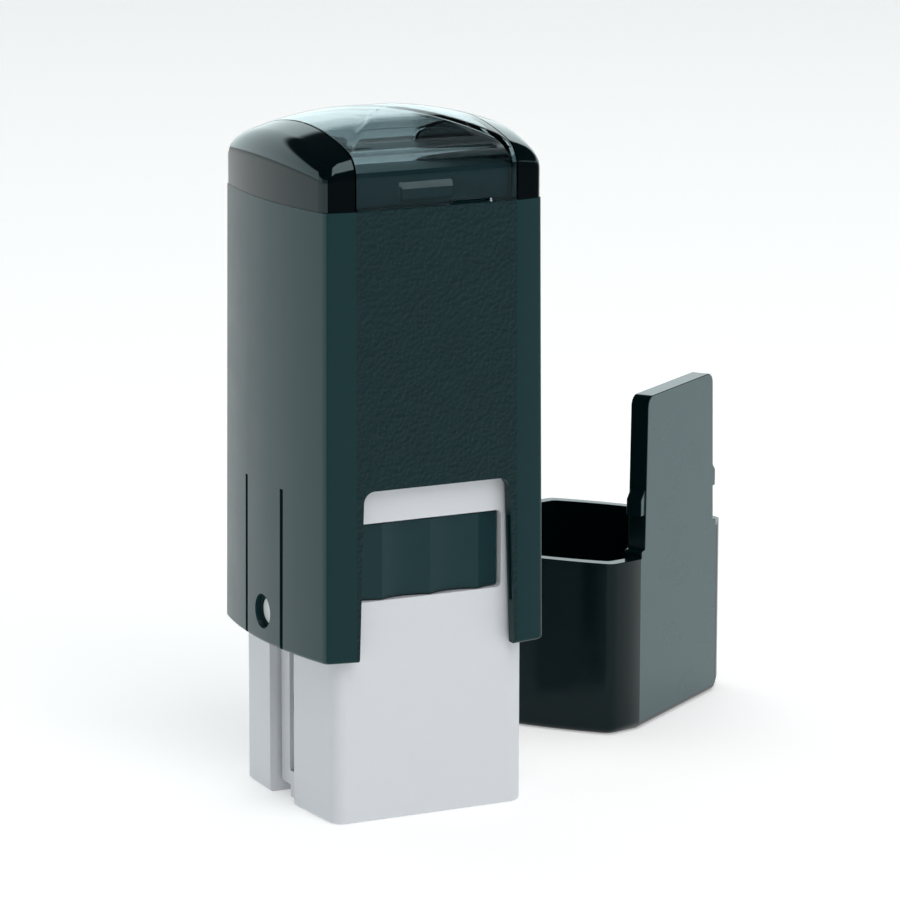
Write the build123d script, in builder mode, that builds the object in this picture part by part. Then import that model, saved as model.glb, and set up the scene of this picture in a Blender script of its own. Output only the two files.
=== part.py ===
"""Small self-inking stamp, standing beside its dust cap.

Millimetres. The origin is the centre of the stamp's base on the floor, X runs across the
front, -Y is the front and +Z is up. The handle is up, so the die faces the ink pad.
"""

import os
from math import cos, hypot, pi, sin

from build123d import *

os.makedirs("parts", exist_ok=True)

# ---- handle: plan at the seam below the top cap -------------------------------------------
PANEL_HALF = 8.95  # half-width of the flat front panel
FRONT_Y = 12.1  # front and back faces
CREASE_X, CREASE_Y = 12.0, 11.5  # where a corner strip meets the bulged side
SIDE_X = 13.4  # middle of the bulged side
SEAM_Z = 62.5
HOUSING_BOTTOM = 17.1
DRAFT = 0.28  # how much wider the handle is at its bottom edge
WALL = 1.2
ROOF_UNDER, ROOF_TOP = 58.0, 59.8
CUT_TOP, CUT_HALF_TOP, CUT_HALF_LOW = 34.4, 8.15, 8.75  # cut-out over the ink cartridge
TONGUE_HALF, TONGUE_TOP, SLIT = 4.1, 33.7, 0.6  # sprung side tongues that carry the axle

# ---- crowned top ---------------------------------------------------------------------------
DOME_Z, DOME_RX, DOME_RY = 71.05, 35.8, 33.8
CROWN_R = 3.05
COVER_HALF, COVER_GAP, COVER_WALL = 8.95, 0.1, 1.2
DECK_Z, DECK_Y = 66.0, 10.2

# ---- base frame ----------------------------------------------------------------------------
BASE_X, BASE_MID_X, BASE_Y, BASE_R = 10.65, 11.1, 10.7, 1.6
BASE_TOP = 41.0
ROOM_X, ROOM_Y = 8.7, 9.1  # room in which the die turns over
WINDOW_HALF, WINDOW_LOW, WINDOW_HIGH = 8.0, 22.8, 30.8
RAIL_IN, RAIL_TOP = 6.9, 23.5
SEAT_Z = 32.6  # floor of the spring well
CHANNEL_FLOOR = 9.9
CHANNEL_Y = (-1.9, 3.9)
SLOT_END = 2.75  # bottom of the axle slot

# ---- turning die ---------------------------------------------------------------------------
AXLE_Z, AXLE_R = 20.3, 1.42
DIE_HALF, DIE_HEIGHT = 6.0, 4.4  # half-side of the print, and its face above the axle
STROKE = AXLE_Z - DIE_HEIGHT
PIN_ARM, PIN_R = 4.0, 0.8  # cam pins below the axle
GROOVE_W = 2.0

# ---- ink cartridge -------------------------------------------------------------------------
TRAY_HALF, TRAY_FRONT, TRAY_BACK = 7.85, -10.55, 8.9
TRAY_TOP, TRAY_LIP = 30.65, 25.1
PAD_HALF, PAD_Y, PAD_FACE = 6.7, (-9.3, 7.8), 25.15

# ---- return spring -------------------------------------------------------------------------
SPRING_R, WIRE_R, SPRING_TURNS = 4.05, 0.45, 8
BOSS_R = 3.3

# ---- dust cap, standing on the floor behind the stamp ----------------------------------------
CAP_AT, CAP_TURN = (36.05, 23.5), 34.6
CAP_FACE, CAP_FRONT = 9.55, 12.05  # half-width and place of the flat front face
CAP_CREASE_X, CAP_CREASE_Y, CAP_SIDE = 13.4, 10.6, 14.45
CAP_RIM, CAP_FLOOR, CAP_WALL, CAP_FOOT_R = 18.95, 2.1, 1.2, 1.0
CAP_TONGUE_TOP, CAP_TONGUE_T = 36.4, 2.05
CAP_TONGUE_HALF_TOP, CAP_TONGUE_HALF_LOW = 8.1, 8.6
CAP_SHOULDER, CAP_SHOULDER_HALF = 0.8, 9.4  # step of the rim beside the tongue
CATCH_LOW, CATCH_HIGH, CATCH_ROOT, CATCH_OUT = 23.5, 26.7, 8.0, 9.35
CATCH_SLOPE, CATCH_INSET = 1.4, 0.15


def outline_at(z, face, fold, side):
    """A flat front and back, corner strips and bulged sides, as a face at height z."""
    (w, f), (cx, cy) = face, fold
    with BuildSketch(Plane.XY.offset(z)) as sketch:
        with BuildLine():
            Polyline((-cx, -cy), (-w, -f), (w, -f), (cx, -cy))
            ThreePointArc((cx, -cy), (side, 0), (cx, cy))
            Polyline((cx, cy), (w, f), (-w, f), (-cx, cy))
            ThreePointArc((-cx, cy), (-side, 0), (-cx, -cy))
        make_face()
    return sketch.sketch


def plan_at(z, grow=0.0):
    """The handle's outline, grown outwards."""
    face, fold = (PANEL_HALF + 0.3 * grow, FRONT_Y + grow), (CREASE_X + grow, CREASE_Y + 0.9 * grow)
    return outline_at(z, face, fold, SIDE_X + grow)


def cap_at(z, inset=0.0):
    """The dust cap's outline, moved inwards."""
    face = (CAP_FACE - 0.3 * inset, CAP_FRONT - inset)
    fold = (CAP_CREASE_X - inset, CAP_CREASE_Y - 0.9 * inset)
    return outline_at(z, face, fold, CAP_SIDE - inset)


def grow_at(z):
    """How much the drafted handle has widened at height z."""
    return DRAFT * (SEAM_Z - z) / (SEAM_Z - HOUSING_BOTTOM)


def crown(lower=0.0):
    """A solid whose top is the crowned surface, lowered by a wall."""
    top, rx, ry = DOME_Z - lower, DOME_RX - lower, DOME_RY - lower
    edge = 16.0
    edge_z = top - rx + (rx**2 - edge**2) ** 0.5
    with BuildPart(mode=Mode.PRIVATE) as solid:
        with BuildSketch(Plane.XZ):
            with BuildLine():
                Line((-edge, edge_z), (-edge, 52))
                Line((-edge, 52), (edge, 52))
                Line((edge, 52), (edge, edge_z))
                ThreePointArc((edge, edge_z), (0, top), (-edge, edge_z))
            make_face()
        revolve(axis=Axis((0, 0, top - ry), (1, 0, 0)))
    return solid.part


def rounded_top(grow=0.0, lower=0.0, radius=0.0):
    """The handle's plan raised to the crown, with its upper edge rounded."""
    with BuildPart(mode=Mode.PRIVATE) as solid:
        add(plan_at(SEAM_Z, grow))
        extrude(amount=14)
        add(crown(lower), mode=Mode.INTERSECT)
        if radius:
            rim = [e for e in solid.edges() if e.center().Z > SEAM_Z + 1.5 and abs(e.tangent_at(0.5).Z) < 0.9]
            fillet(rim, radius=radius)
    return solid.part


# ---- base frame ----------------------------------------------------------------------------
def groove_points(steps=36):
    """Path of a cam pin, as the die turns half a turn while the handle goes down."""
    turns = [pi * i / steps for i in range(steps + 1)]
    drop = STROKE / pi
    return [(PIN_ARM * sin(a), AXLE_Z - drop * a - PIN_ARM * cos(a)) for a in turns]


def groove_sides():
    """The groove's two sides: the pin's path moved out by half the groove's width."""
    path = groove_points()
    ends = [path[0], *path, path[-1]]
    sides = [[], []]
    for i, (y, z) in enumerate(path):
        dy, dz = ends[i + 2][0] - ends[i][0], ends[i + 2][1] - ends[i][1]
        step = GROOVE_W / 2 / hypot(dy, dz)
        sides[0].append((y + dz * step, z - dy * step))
        sides[1].append((y - dz * step, z + dy * step))
    # inside the tight turn the moved points fall back over the path, and are left out
    clear = GROOVE_W / 2 - 0.01
    for k in (0, 1):
        sides[k] = [(y, z) for y, z in sides[k] if min(hypot(y - p, z - q) for p, q in path) > clear]
    return sides[0] + sides[1][::-1]


with BuildPart() as base_frame:
    with BuildSketch():
        with BuildLine():
            Line((-BASE_X, -BASE_Y), (BASE_X, -BASE_Y))
            ThreePointArc((BASE_X, -BASE_Y), (BASE_MID_X, 0), (BASE_X, BASE_Y))
            Line((BASE_X, BASE_Y), (-BASE_X, BASE_Y))
            ThreePointArc((-BASE_X, BASE_Y), (-BASE_MID_X, 0), (-BASE_X, -BASE_Y))
        outline = make_face()
        fillet(outline.vertices(), radius=BASE_R)
    extrude(amount=BASE_TOP)
    chamfer(base_frame.faces().sort_by(Axis.Z)[0].edges(), length=0.35)
    # the room where the die turns over
    with BuildSketch():
        Rectangle(2 * ROOM_X, 2 * ROOM_Y)
    extrude(amount=WINDOW_LOW - 0.1, mode=Mode.SUBTRACT)
    # the bay for the ink cartridge, open to the front
    with BuildSketch(Plane.XY.offset(WINDOW_LOW)):
        with Locations((0, (ROOM_Y - BASE_Y - 1) / 2)):
            Rectangle(2 * WINDOW_HALF, ROOM_Y + BASE_Y + 1)
    extrude(amount=WINDOW_HIGH - WINDOW_LOW, mode=Mode.SUBTRACT)
    with BuildSketch(Plane.XY.offset(WINDOW_LOW - 0.2)):
        Rectangle(2 * RAIL_IN, 2 * ROOM_Y)
    extrude(amount=0.4, mode=Mode.SUBTRACT)
    # rails under the cartridge's side walls
    for side in (-1, 1):
        with Locations((side * (RAIL_IN + ROOM_X) / 2, 0, (WINDOW_LOW + RAIL_TOP) / 2)):
            Box(ROOM_X - RAIL_IN, 2 * ROOM_Y, RAIL_TOP - WINDOW_LOW)
    # the open well above the bay, with a boss that centres the spring
    with BuildSketch(Plane.XY.offset(SEAT_Z)):
        RectangleRounded(2 * (BASE_X - 1.6), 2 * (BASE_Y - 1.6), 1.0)
    extrude(amount=BASE_TOP, mode=Mode.SUBTRACT)
    with BuildSketch(Plane.XY.offset(SEAT_Z)):
        Circle(BOSS_R)
    extrude(amount=2.2)
    # side channels, each with an axle slot and a cam groove on the inner face
    channel_mid, channel_w = sum(CHANNEL_Y) / 2, CHANNEL_Y[1] - CHANNEL_Y[0]
    for side in (-1, 1):
        with Locations((side * (CHANNEL_FLOOR + 1), channel_mid, 11.0)):
            Box(2.0, channel_w, 24.0, mode=Mode.SUBTRACT)
        with Locations((side * (ROOM_X + 0.6), 0, (SLOT_END + AXLE_Z + AXLE_R + 0.2) / 2)):
            Box(1.6, 2 * AXLE_R + 0.3, AXLE_Z + AXLE_R + 0.2 - SLOT_END, mode=Mode.SUBTRACT)
        with Locations((side * (ROOM_X + 0.6), CHANNEL_Y[1] - 0.2, 8.5)):
            Box(1.6, 0.4, 17.0, mode=Mode.SUBTRACT)
        with Locations((side * (ROOM_X + 0.6), (AXLE_R + CHANNEL_Y[1]) / 2, 0.6)):
            Box(1.6, CHANNEL_Y[1] - AXLE_R, 1.4, mode=Mode.SUBTRACT)
        with Locations((side * (CHANNEL_FLOOR + 0.55), CHANNEL_Y[0], 12.5)):
            Cylinder(0.3, 1.4)
        with BuildSketch(Plane.YZ.offset(side * ROOM_X)):
            with BuildLine():
                Polyline(*groove_sides(), close=True)
            make_face()
            with Locations(groove_points()[0], groove_points()[-1]):
                Circle(GROOVE_W / 2)
        extrude(amount=side * 0.8, mode=Mode.SUBTRACT)
base_frame.part.label = "base_frame"

with BuildPart() as return_spring:
    spring_length = ROOF_UNDER - SEAT_Z - 2 * WIRE_R
    with BuildLine() as coil:
        Helix(spring_length / SPRING_TURNS, spring_length, SPRING_R, center=(0, 0, SEAT_Z + WIRE_R))
    with BuildSketch(Plane(origin=coil.line @ 0, z_dir=coil.line % 0)):
        Circle(WIRE_R)
    sweep()
return_spring.part.label = "return_spring"

# ---- handle --------------------------------------------------------------------------------
with BuildPart() as housing_shell:
    add(plan_at(HOUSING_BOTTOM, DRAFT))
    add(plan_at(SEAM_Z))
    loft()
    lower_edges = housing_shell.faces().sort_by(Axis.Z)[0].edges()
    fillet(lower_edges, radius=0.3)
    # room for the base frame below the roof, and the seat of the top cap above it
    with BuildPart(mode=Mode.PRIVATE) as cavity:
        add(plan_at(HOUSING_BOTTOM - 1, DRAFT - WALL))
        add(plan_at(ROOF_UNDER, grow_at(ROOF_UNDER) - WALL))
        loft()
    add(cavity.part, mode=Mode.SUBTRACT)
    with BuildPart(mode=Mode.PRIVATE) as cap_seat:
        add(plan_at(ROOF_TOP, -WALL))
        extrude(amount=10)
    add(cap_seat.part, mode=Mode.SUBTRACT)
    # guide ribs beside the base frame
    for side in (-1, 1):
        for y in (-7.5, 7.5):
            with Locations((side * 11.75, y, (HOUSING_BOTTOM + 1 + ROOF_UNDER) / 2)):
                Box(1.0, 0.9, ROOF_UNDER - HOUSING_BOTTOM - 1)
    with Locations((0, 0, ROOF_UNDER - 1.1)):
        Cylinder(BOSS_R, 2.2)
    # the cut-out over the cartridge
    with BuildSketch(Plane.XZ.offset(FRONT_Y - 2.5)) as cut_out:
        with BuildLine():
            Polyline(
                (-CUT_HALF_LOW, HOUSING_BOTTOM - 1),
                (CUT_HALF_LOW, HOUSING_BOTTOM - 1),
                (CUT_HALF_TOP, CUT_TOP),
                (-CUT_HALF_TOP, CUT_TOP),
                close=True,
            )
        make_face()
        fillet(cut_out.vertices().group_by(Axis.Y)[-1], radius=1.2)
    extrude(amount=5, mode=Mode.SUBTRACT)
    for side in (-1, 1):
        # catch slot for the dust cap in the cut-out's edge
        with Locations((side * (CUT_HALF_LOW - 0.05), -FRONT_Y + 0.35, 26.0)):
            Box(0.9, 0.6, 8.8, mode=Mode.SUBTRACT)
        # sprung tongue and its axle hole
        for y in (-TONGUE_HALF, TONGUE_HALF):
            with Locations((side * SIDE_X, y, (HOUSING_BOTTOM - 1 + TONGUE_TOP) / 2)):
                Box(5, SLIT, TONGUE_TOP - HOUSING_BOTTOM + 1, mode=Mode.SUBTRACT)
        with Locations(Location((side * SIDE_X, 0, AXLE_Z), (0, 90, 0))):
            Cylinder(AXLE_R + 0.06, 6, mode=Mode.SUBTRACT)
        with Locations(Location((side * (SIDE_X + 1.0), 0, AXLE_Z), (0, 90, 0))):
            Cylinder(AXLE_R + 0.35, 2.8, mode=Mode.SUBTRACT)
housing_shell.part.label = "housing_shell"

with BuildPart() as top_cap:
    # plug in the handle's upper end
    add(plan_at(ROOF_TOP, -WALL - 0.05))
    extrude(amount=SEAM_Z - ROOF_TOP)
    # glossy shoulders on both sides of the clear cover
    add(rounded_top(radius=CROWN_R))
    with Locations((0, 0, SEAM_Z + 10)):
        Box(2 * (COVER_HALF + COVER_GAP), 40, 20, mode=Mode.SUBTRACT)
    # deck under the clear cover, with a round recess
    with Locations((0, 0, (SEAM_Z + DECK_Z) / 2)):
        Box(2 * (COVER_HALF + COVER_GAP), 2 * DECK_Y, DECK_Z - SEAM_Z)
    with Locations((-1.5, 3.0, DECK_Z)):
        Cylinder(1.6, 1.0, mode=Mode.SUBTRACT)
    # catch for the cover on the deck's front and back
    for side in (-1, 1):
        with Locations((side * 0.5, side * (DECK_Y + 0.2), 64.1)):
            Box(5.8, 0.4, 2.0)
top_cap.part.label = "top_cap"

with BuildPart() as clear_cover:
    add(rounded_top(radius=CROWN_R))
    add(rounded_top(grow=-COVER_WALL, lower=COVER_WALL, radius=CROWN_R - COVER_WALL), mode=Mode.SUBTRACT)
    with Locations((0, 0, SEAM_Z + 10)):
        Box(2 * COVER_HALF, 40, 20, mode=Mode.INTERSECT)
    with Locations((3.9, -FRONT_Y, SEAM_Z)):
        Box(4.4, 3.0, 0.9, mode=Mode.SUBTRACT)
clear_cover.part.label = "clear_cover"

# ---- turning die ---------------------------------------------------------------------------
with BuildPart() as die_carrier:
    with Locations((0, 0, AXLE_Z + 0.5)):
        Box(13.2, 2 * DIE_HALF, 3.0)
    with Locations(Location((0, 0, AXLE_Z), (0, 90, 0))):
        Cylinder(1.95, 16.9)
    for side in (-1, 1):
        with BuildSketch(Plane.YZ.offset(side * 6.6)):
            with Locations((0, AXLE_Z)):
                Circle(2.2)
            with Locations((0, AXLE_Z - PIN_ARM)):
                Circle(1.4)
            make_hull()
        extrude(amount=side * 1.85)
        with Locations(Location((side * 8.2, 0, AXLE_Z - PIN_ARM), (0, 90, 0))):
            Cylinder(PIN_R + 0.01, 2.0, mode=Mode.SUBTRACT)
    with Locations(Location((0, 0, AXLE_Z), (0, 90, 0))):
        Cylinder(AXLE_R + 0.01, 20, mode=Mode.SUBTRACT)
die_carrier.part.label = "die_carrier"

with BuildPart() as carrier_axle:
    with Locations(Location((0, 0, AXLE_Z), (0, 90, 0))):
        Cylinder(AXLE_R, 25.9)
    chamfer(carrier_axle.edges().filter_by(GeomType.CIRCLE), length=0.25)
carrier_axle.part.label = "carrier_axle"

with BuildPart() as cam_pins:
    for side in (-1, 1):
        with Locations(Location((side * 8.35, 0, AXLE_Z - PIN_ARM), (0, 90, 0))):
            Cylinder(PIN_R, 2.1)
cam_pins.part.label = "cam_pins"

with BuildPart() as die_cushion:
    with Locations((0, 0, AXLE_Z + 2.3)):
        Box(2 * DIE_HALF, 2 * DIE_HALF, 0.6)
die_cushion.part.label = "die_cushion"

with BuildPart() as rubber_die:
    with Locations((0, 0, AXLE_Z + 3.15)):
        Box(2 * DIE_HALF, 2 * DIE_HALF, 1.1)
    # raised print: a square border around a ring, rays and a dot
    with BuildSketch(Plane.XY.offset(AXLE_Z + 3.7)):
        Rectangle(11.6, 11.6)
        Rectangle(10.4, 10.4, mode=Mode.SUBTRACT)
        Circle(4.3)
        Circle(3.7, mode=Mode.SUBTRACT)
        with PolarLocations(2.5, 8):
            Rectangle(1.5, 0.6)
        Circle(0.9)
    extrude(amount=DIE_HEIGHT - 3.7)
rubber_die.part.label = "rubber_die"

# ---- ink cartridge -------------------------------------------------------------------------
with BuildPart() as pad_tray:
    tray_mid = (TRAY_FRONT + TRAY_BACK) / 2
    with Locations((0, tray_mid, (RAIL_TOP + 0.1 + TRAY_TOP) / 2)):
        Box(2 * TRAY_HALF, TRAY_BACK - TRAY_FRONT, TRAY_TOP - RAIL_TOP - 0.1)
    with Locations((0, TRAY_FRONT + 0.6, (WINDOW_LOW + 0.15 + TRAY_TOP) / 2)):
        Box(2 * TRAY_HALF, 1.2, TRAY_TOP - WINDOW_LOW - 0.15)
    # space over the turning die, and the pad's own pocket
    with Locations((0, TRAY_FRONT + 1.2 + 12, TRAY_LIP - 5)):
        Box(2 * RAIL_IN + 0.02, 24, 10, mode=Mode.SUBTRACT)
    with Locations((0, sum(PAD_Y) / 2, (TRAY_LIP + 29.0) / 2)):
        Box(2 * PAD_HALF + 0.1, PAD_Y[1] - PAD_Y[0] + 0.1, 29.0 - TRAY_LIP, mode=Mode.SUBTRACT)
    # hollow finger flutes down the front
    with BuildSketch(Plane.XY.offset(WINDOW_LOW)):
        with Locations(*[(x, TRAY_FRONT - 5.45) for x in (-8.1, -2.7, 2.7, 8.1)]):
            Circle(6.0)
    flutes = extrude(amount=10, mode=Mode.PRIVATE)
    add(flutes, mode=Mode.SUBTRACT)
pad_tray.part.label = "pad_tray"

with BuildPart() as pad_foam:
    with Locations((0, sum(PAD_Y) / 2, (PAD_FACE + 0.25 + 28.95) / 2)):
        Box(2 * PAD_HALF, PAD_Y[1] - PAD_Y[0], 28.95 - PAD_FACE - 0.25)
pad_foam.part.label = "pad_foam"

with BuildPart() as pad_cloth:
    with Locations((0, sum(PAD_Y) / 2, PAD_FACE + 0.12)):
        Box(2 * PAD_HALF, PAD_Y[1] - PAD_Y[0], 0.24)
pad_cloth.part.label = "pad_cloth"

# ---- dust cap ------------------------------------------------------------------------------
with BuildPart() as cap_at_origin:
    add(cap_at(0))
    extrude(amount=CAP_RIM)
    fillet(cap_at_origin.faces().sort_by(Axis.Z)[0].edges(), radius=CAP_FOOT_R)
    with BuildPart(mode=Mode.PRIVATE) as inside:
        add(cap_at(CAP_FLOOR, CAP_WALL))
        extrude(amount=CAP_RIM)
    add(inside.part, mode=Mode.SUBTRACT)
    # tongue that closes the handle's cut-out, with shoulders on the rim
    with BuildSketch(Plane.XZ.offset(CAP_FRONT - CAP_TONGUE_T)) as tongue:
        with BuildLine():
            Polyline(
                (-CAP_SHOULDER_HALF, CAP_FLOOR + 3),
                (CAP_SHOULDER_HALF, CAP_FLOOR + 3),
                (CAP_SHOULDER_HALF, CAP_RIM + CAP_SHOULDER),
                (CAP_TONGUE_HALF_LOW, CAP_RIM + CAP_SHOULDER),
                (CAP_TONGUE_HALF_TOP, CAP_TONGUE_TOP),
                (-CAP_TONGUE_HALF_TOP, CAP_TONGUE_TOP),
                (-CAP_TONGUE_HALF_LOW, CAP_RIM + CAP_SHOULDER),
                (-CAP_SHOULDER_HALF, CAP_RIM + CAP_SHOULDER),
                close=True,
            )
        make_face()
        fillet(tongue.vertices().group_by(Axis.Y)[-1], radius=1.2)
    extrude(amount=CAP_TONGUE_T)
    # catches on the tongue's edges
    with BuildSketch(Plane.XZ.offset(CAP_FRONT - CAP_TONGUE_T + CATCH_INSET)):
        for side in (-1, 1):
            with BuildLine():
                Polyline(
                    (side * CATCH_ROOT, CATCH_LOW),
                    (side * CATCH_OUT, CATCH_LOW),
                    (side * CATCH_OUT, CATCH_HIGH - CATCH_SLOPE),
                    (side * CATCH_ROOT, CATCH_HIGH),
                    close=True,
                )
            make_face()
    extrude(amount=CAP_TONGUE_T - 2 * CATCH_INSET)
dust_cap_place = Location((CAP_AT[0], CAP_AT[1], 0), (0, 0, CAP_TURN))
with BuildPart() as dust_cap:
    add(cap_at_origin.part.moved(dust_cap_place))
dust_cap.part.label = "dust_cap"

for piece in (
    base_frame, return_spring, housing_shell, top_cap, clear_cover, die_carrier, carrier_axle,
    cam_pins, die_cushion, rubber_die, pad_tray, pad_foam, pad_cloth, dust_cap,
):
    export_step(piece.part, f"parts/{piece.part.label}.step")
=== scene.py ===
"""The looks of a small self-inking stamp and its dust cap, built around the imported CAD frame.

Shapes are worked out in millimetres in the CAD's own frame and scaled to metres at the end:
X runs across the front, -Y is the front, +Z is up and the stamp's base is centred on the origin.
"""

from math import acos, atan, cos, pi, radians, sin, sqrt, tan

import bmesh
import bpy
from mathutils import Matrix, Vector


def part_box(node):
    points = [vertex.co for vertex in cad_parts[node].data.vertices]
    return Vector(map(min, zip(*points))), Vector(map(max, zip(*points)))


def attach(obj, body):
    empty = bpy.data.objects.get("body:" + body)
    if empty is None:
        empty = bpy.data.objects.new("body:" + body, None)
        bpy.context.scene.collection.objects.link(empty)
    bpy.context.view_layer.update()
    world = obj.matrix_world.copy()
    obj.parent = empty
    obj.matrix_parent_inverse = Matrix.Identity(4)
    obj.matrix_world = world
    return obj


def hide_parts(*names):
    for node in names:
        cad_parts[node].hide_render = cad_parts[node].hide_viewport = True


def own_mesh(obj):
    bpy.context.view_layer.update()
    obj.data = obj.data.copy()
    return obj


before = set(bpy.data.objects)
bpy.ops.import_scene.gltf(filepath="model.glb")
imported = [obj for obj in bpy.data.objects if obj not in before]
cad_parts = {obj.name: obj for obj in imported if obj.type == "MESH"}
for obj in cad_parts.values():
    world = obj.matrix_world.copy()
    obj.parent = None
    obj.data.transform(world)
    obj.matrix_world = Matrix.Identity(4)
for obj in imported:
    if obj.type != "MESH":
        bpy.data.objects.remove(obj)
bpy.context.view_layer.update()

MM = 0.001


def box_mm(node):
    """Lowest and highest corner of a CAD node, in millimetres."""
    low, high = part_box(node)
    return low / MM, high / MM


# ---- driving sizes, in millimetres ---------------------------------------------------------
SHELL_LOW, SHELL_HIGH = box_mm("housing_shell")
COVER_LOW, COVER_HIGH = box_mm("clear_cover")
BASE_HIGH = box_mm("base_frame")[1]
AXLE_LOW, AXLE_HIGH = box_mm("carrier_axle")
TRAY_LOW, TRAY_HIGH = box_mm("pad_tray")
CLOTH_LOW, CLOTH_HIGH = box_mm("pad_cloth")
FOAM_LOW, FOAM_HIGH = box_mm("pad_foam")
DIE_LOW, DIE_HIGH = box_mm("rubber_die")
CUSHION_LOW, CUSHION_HIGH = box_mm("die_cushion")
SPRING_LOW, SPRING_HIGH = box_mm("return_spring")

SEAM_Z, HOUSING_BOTTOM = SHELL_HIGH.z, SHELL_LOW.z
DRAFT = 0.28  # how much wider the handle is at its bottom edge
PANEL_HALF, CREASE_X, CREASE_Y = 8.95, 12.0, 11.5
FRONT_Y = -COVER_LOW.y
SIDE_X = SHELL_HIGH.x - DRAFT
WALL = 1.2
ROOF_UNDER, ROOF_TOP = 58.0, 59.8
RIB_IN, RIB_OUT, RIB_Y, RIB_HALF = 11.25, 12.6, 7.5, 0.45
CUT_TOP, CUT_HALF_TOP, CUT_HALF_LOW = 34.4, 8.15, 8.75  # cut-out over the ink cartridge
CATCH_SLOT_LOW, CATCH_SLOT_HIGH = 21.6, 30.4
TONGUE_HALF, TONGUE_TOP, SLIT = 4.1, 33.7, 0.6  # sprung side tongues
DOME_Z, DOME_RX, DOME_RY, CROWN_R = COVER_HIGH.z, 35.8, 33.8, 3.05
COVER_HALF, COVER_GAP, COVER_WALL = 8.95, 0.1, 1.2
COVER_RELIEF = 0.08  # shows the seams beside the cover
NICK_FROM, NICK_TO, NICK_DEEP = 1.7, 6.1, 0.45
DECK_Z, DECK_Y = 66.0, 10.2
RECESS_AT, RECESS_R, RECESS_DEEP = (-1.5, 3.0), 1.6, 0.5
LATCH_LOW, LATCH_BEND, LATCH_TOP = 63.1, 64.35, 65.1
LATCH_SHIFT, LATCH_HALF, LATCH_OUT = 0.5, 2.9, 0.4
AXLE_Z, AXLE_R = (AXLE_LOW.z + AXLE_HIGH.z) / 2, (AXLE_HIGH.z - AXLE_LOW.z) / 2
BASE_X, BASE_MID_X, BASE_Y, BASE_R, BASE_TOP = 10.65, BASE_HIGH.x, BASE_HIGH.y, 1.6, BASE_HIGH.z
ROOM_X, ROOM_Y = 8.7, 9.1  # room in which the die turns over
WINDOW_HALF, WINDOW_LOW, WINDOW_HIGH = 8.0, 22.8, 30.8
RAIL_IN, RAIL_TOP, SEAT_Z, BOSS_R = 6.9, 23.5, 32.6, 3.3
CHANNEL_FLOOR, CHANNEL_Y, CHANNEL_TOP = 9.9, (-1.9, 3.9), 23  # channel down each side
SLOT_OUT, SLOT_END = 10.4, 2.75  # the axle's slot in the channel
GAP_TOP, NOTCH_TOP, BUMP_LOW, BUMP_HIGH = 17, 1.3, 11.8, 13.2
PIN_ARM, PIN_R = 4.0, 0.8
DIE_HEIGHT = 4.4  # the print's face above the axle
PRINT_DEEP, BORDER_OUT, BORDER_IN = 0.7, 5.8, 5.2
RING_OUT, RING_IN, DOT_R = 4.3, 3.7, 0.9
RAY_FROM, RAY_TO, RAY_HALF = 1.75, 3.25, 0.3
STROKE = AXLE_Z - DIE_HEIGHT
CHEEK_IN, CHEEK_OUT = 6.6, 8.45
CAP_AT, CAP_TURN = (36.05, 23.5), 34.6
CAP_FACE, CAP_FRONT = 9.55, 12.05
CAP_CREASE_X, CAP_CREASE_Y, CAP_SIDE = 13.4, 10.6, 14.45
CAP_RIM, CAP_FLOOR, CAP_WALL, CAP_FOOT_R = 18.95, 2.1, 1.2, 1.0
CAP_TOP = box_mm("dust_cap")[1].z
CAP_TONGUE_T, CAP_TONGUE_ROOT = 2.05, 5.1
CAP_TONGUE_HALF_LOW, CAP_TONGUE_HALF_TOP = 8.6, 8.1
CAP_SHOULDER, CAP_SHOULDER_HALF = 0.8, 9.4  # step of the rim beside the tongue
CATCH_ROOT, CATCH_OUT = 8.0, 9.35
CATCH_LOW, CATCH_BEND, CATCH_TOP, CATCH_INSET = 23.5, 25.3, 26.7, 0.15


# ---- mesh helpers --------------------------------------------------------------------------
def new_object(name, bm):
    """A linked object made from a bmesh in millimetres."""
    bmesh.ops.recalc_face_normals(bm, faces=bm.faces)
    mesh = bpy.data.meshes.new(name)
    bm.to_mesh(mesh)
    bm.free()
    obj = bpy.data.objects.new(name, mesh)
    bpy.context.scene.collection.objects.link(obj)
    return obj


def loft(name, rings, tip=None):
    """A closed solid through rings of equal length, its ends capped or drawn to a tip."""
    bm = bmesh.new()
    rows = [[bm.verts.new(p) for p in points] for points in rings]
    count = len(rows[0])
    for low, high in zip(rows, rows[1:]):
        for i in range(count):
            j = (i + 1) % count
            bm.faces.new((low[i], low[j], high[j], high[i]))
    bm.faces.new(rows[0])
    if tip is None:
        bm.faces.new(rows[-1])
    else:
        top = bm.verts.new(tip)
        for i in range(count):
            bm.faces.new((rows[-1][i], rows[-1][(i + 1) % count], top))
    return new_object(name, bm)


def prism(name, outline, low, high, plane="XY"):
    """An outline extruded between two levels of the axis that the plane leaves out."""
    place = {
        "XY": lambda a, b, c: (a, b, c),
        "XZ": lambda a, b, c: (a, c, b),
        "YZ": lambda a, b, c: (c, a, b),
    }[plane]
    return loft(name, [[place(a, b, c) for a, b in outline] for c in (low, high)])


def block(name, low, high):
    """A plain box, used as a cutter or as a base to bevel."""
    outline = [(low[0], low[1]), (high[0], low[1]), (high[0], high[1]), (low[0], high[1])]
    return prism(name, outline, low[2], high[2])


def slab(inner, outer, y0, y1, z0, z1):
    """A box between two levels of X, given in either order."""
    a, b = sorted((inner, outer))
    return block("slab", (a, y0, z0), (b, y1, z1))


def circle(radius, centre=(0.0, 0.0), count=48):
    """Points round a circle."""
    turns = [2 * pi * i / count for i in range(count)]
    return [(centre[0] + radius * cos(t), centre[1] + radius * sin(t)) for t in turns]


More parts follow.
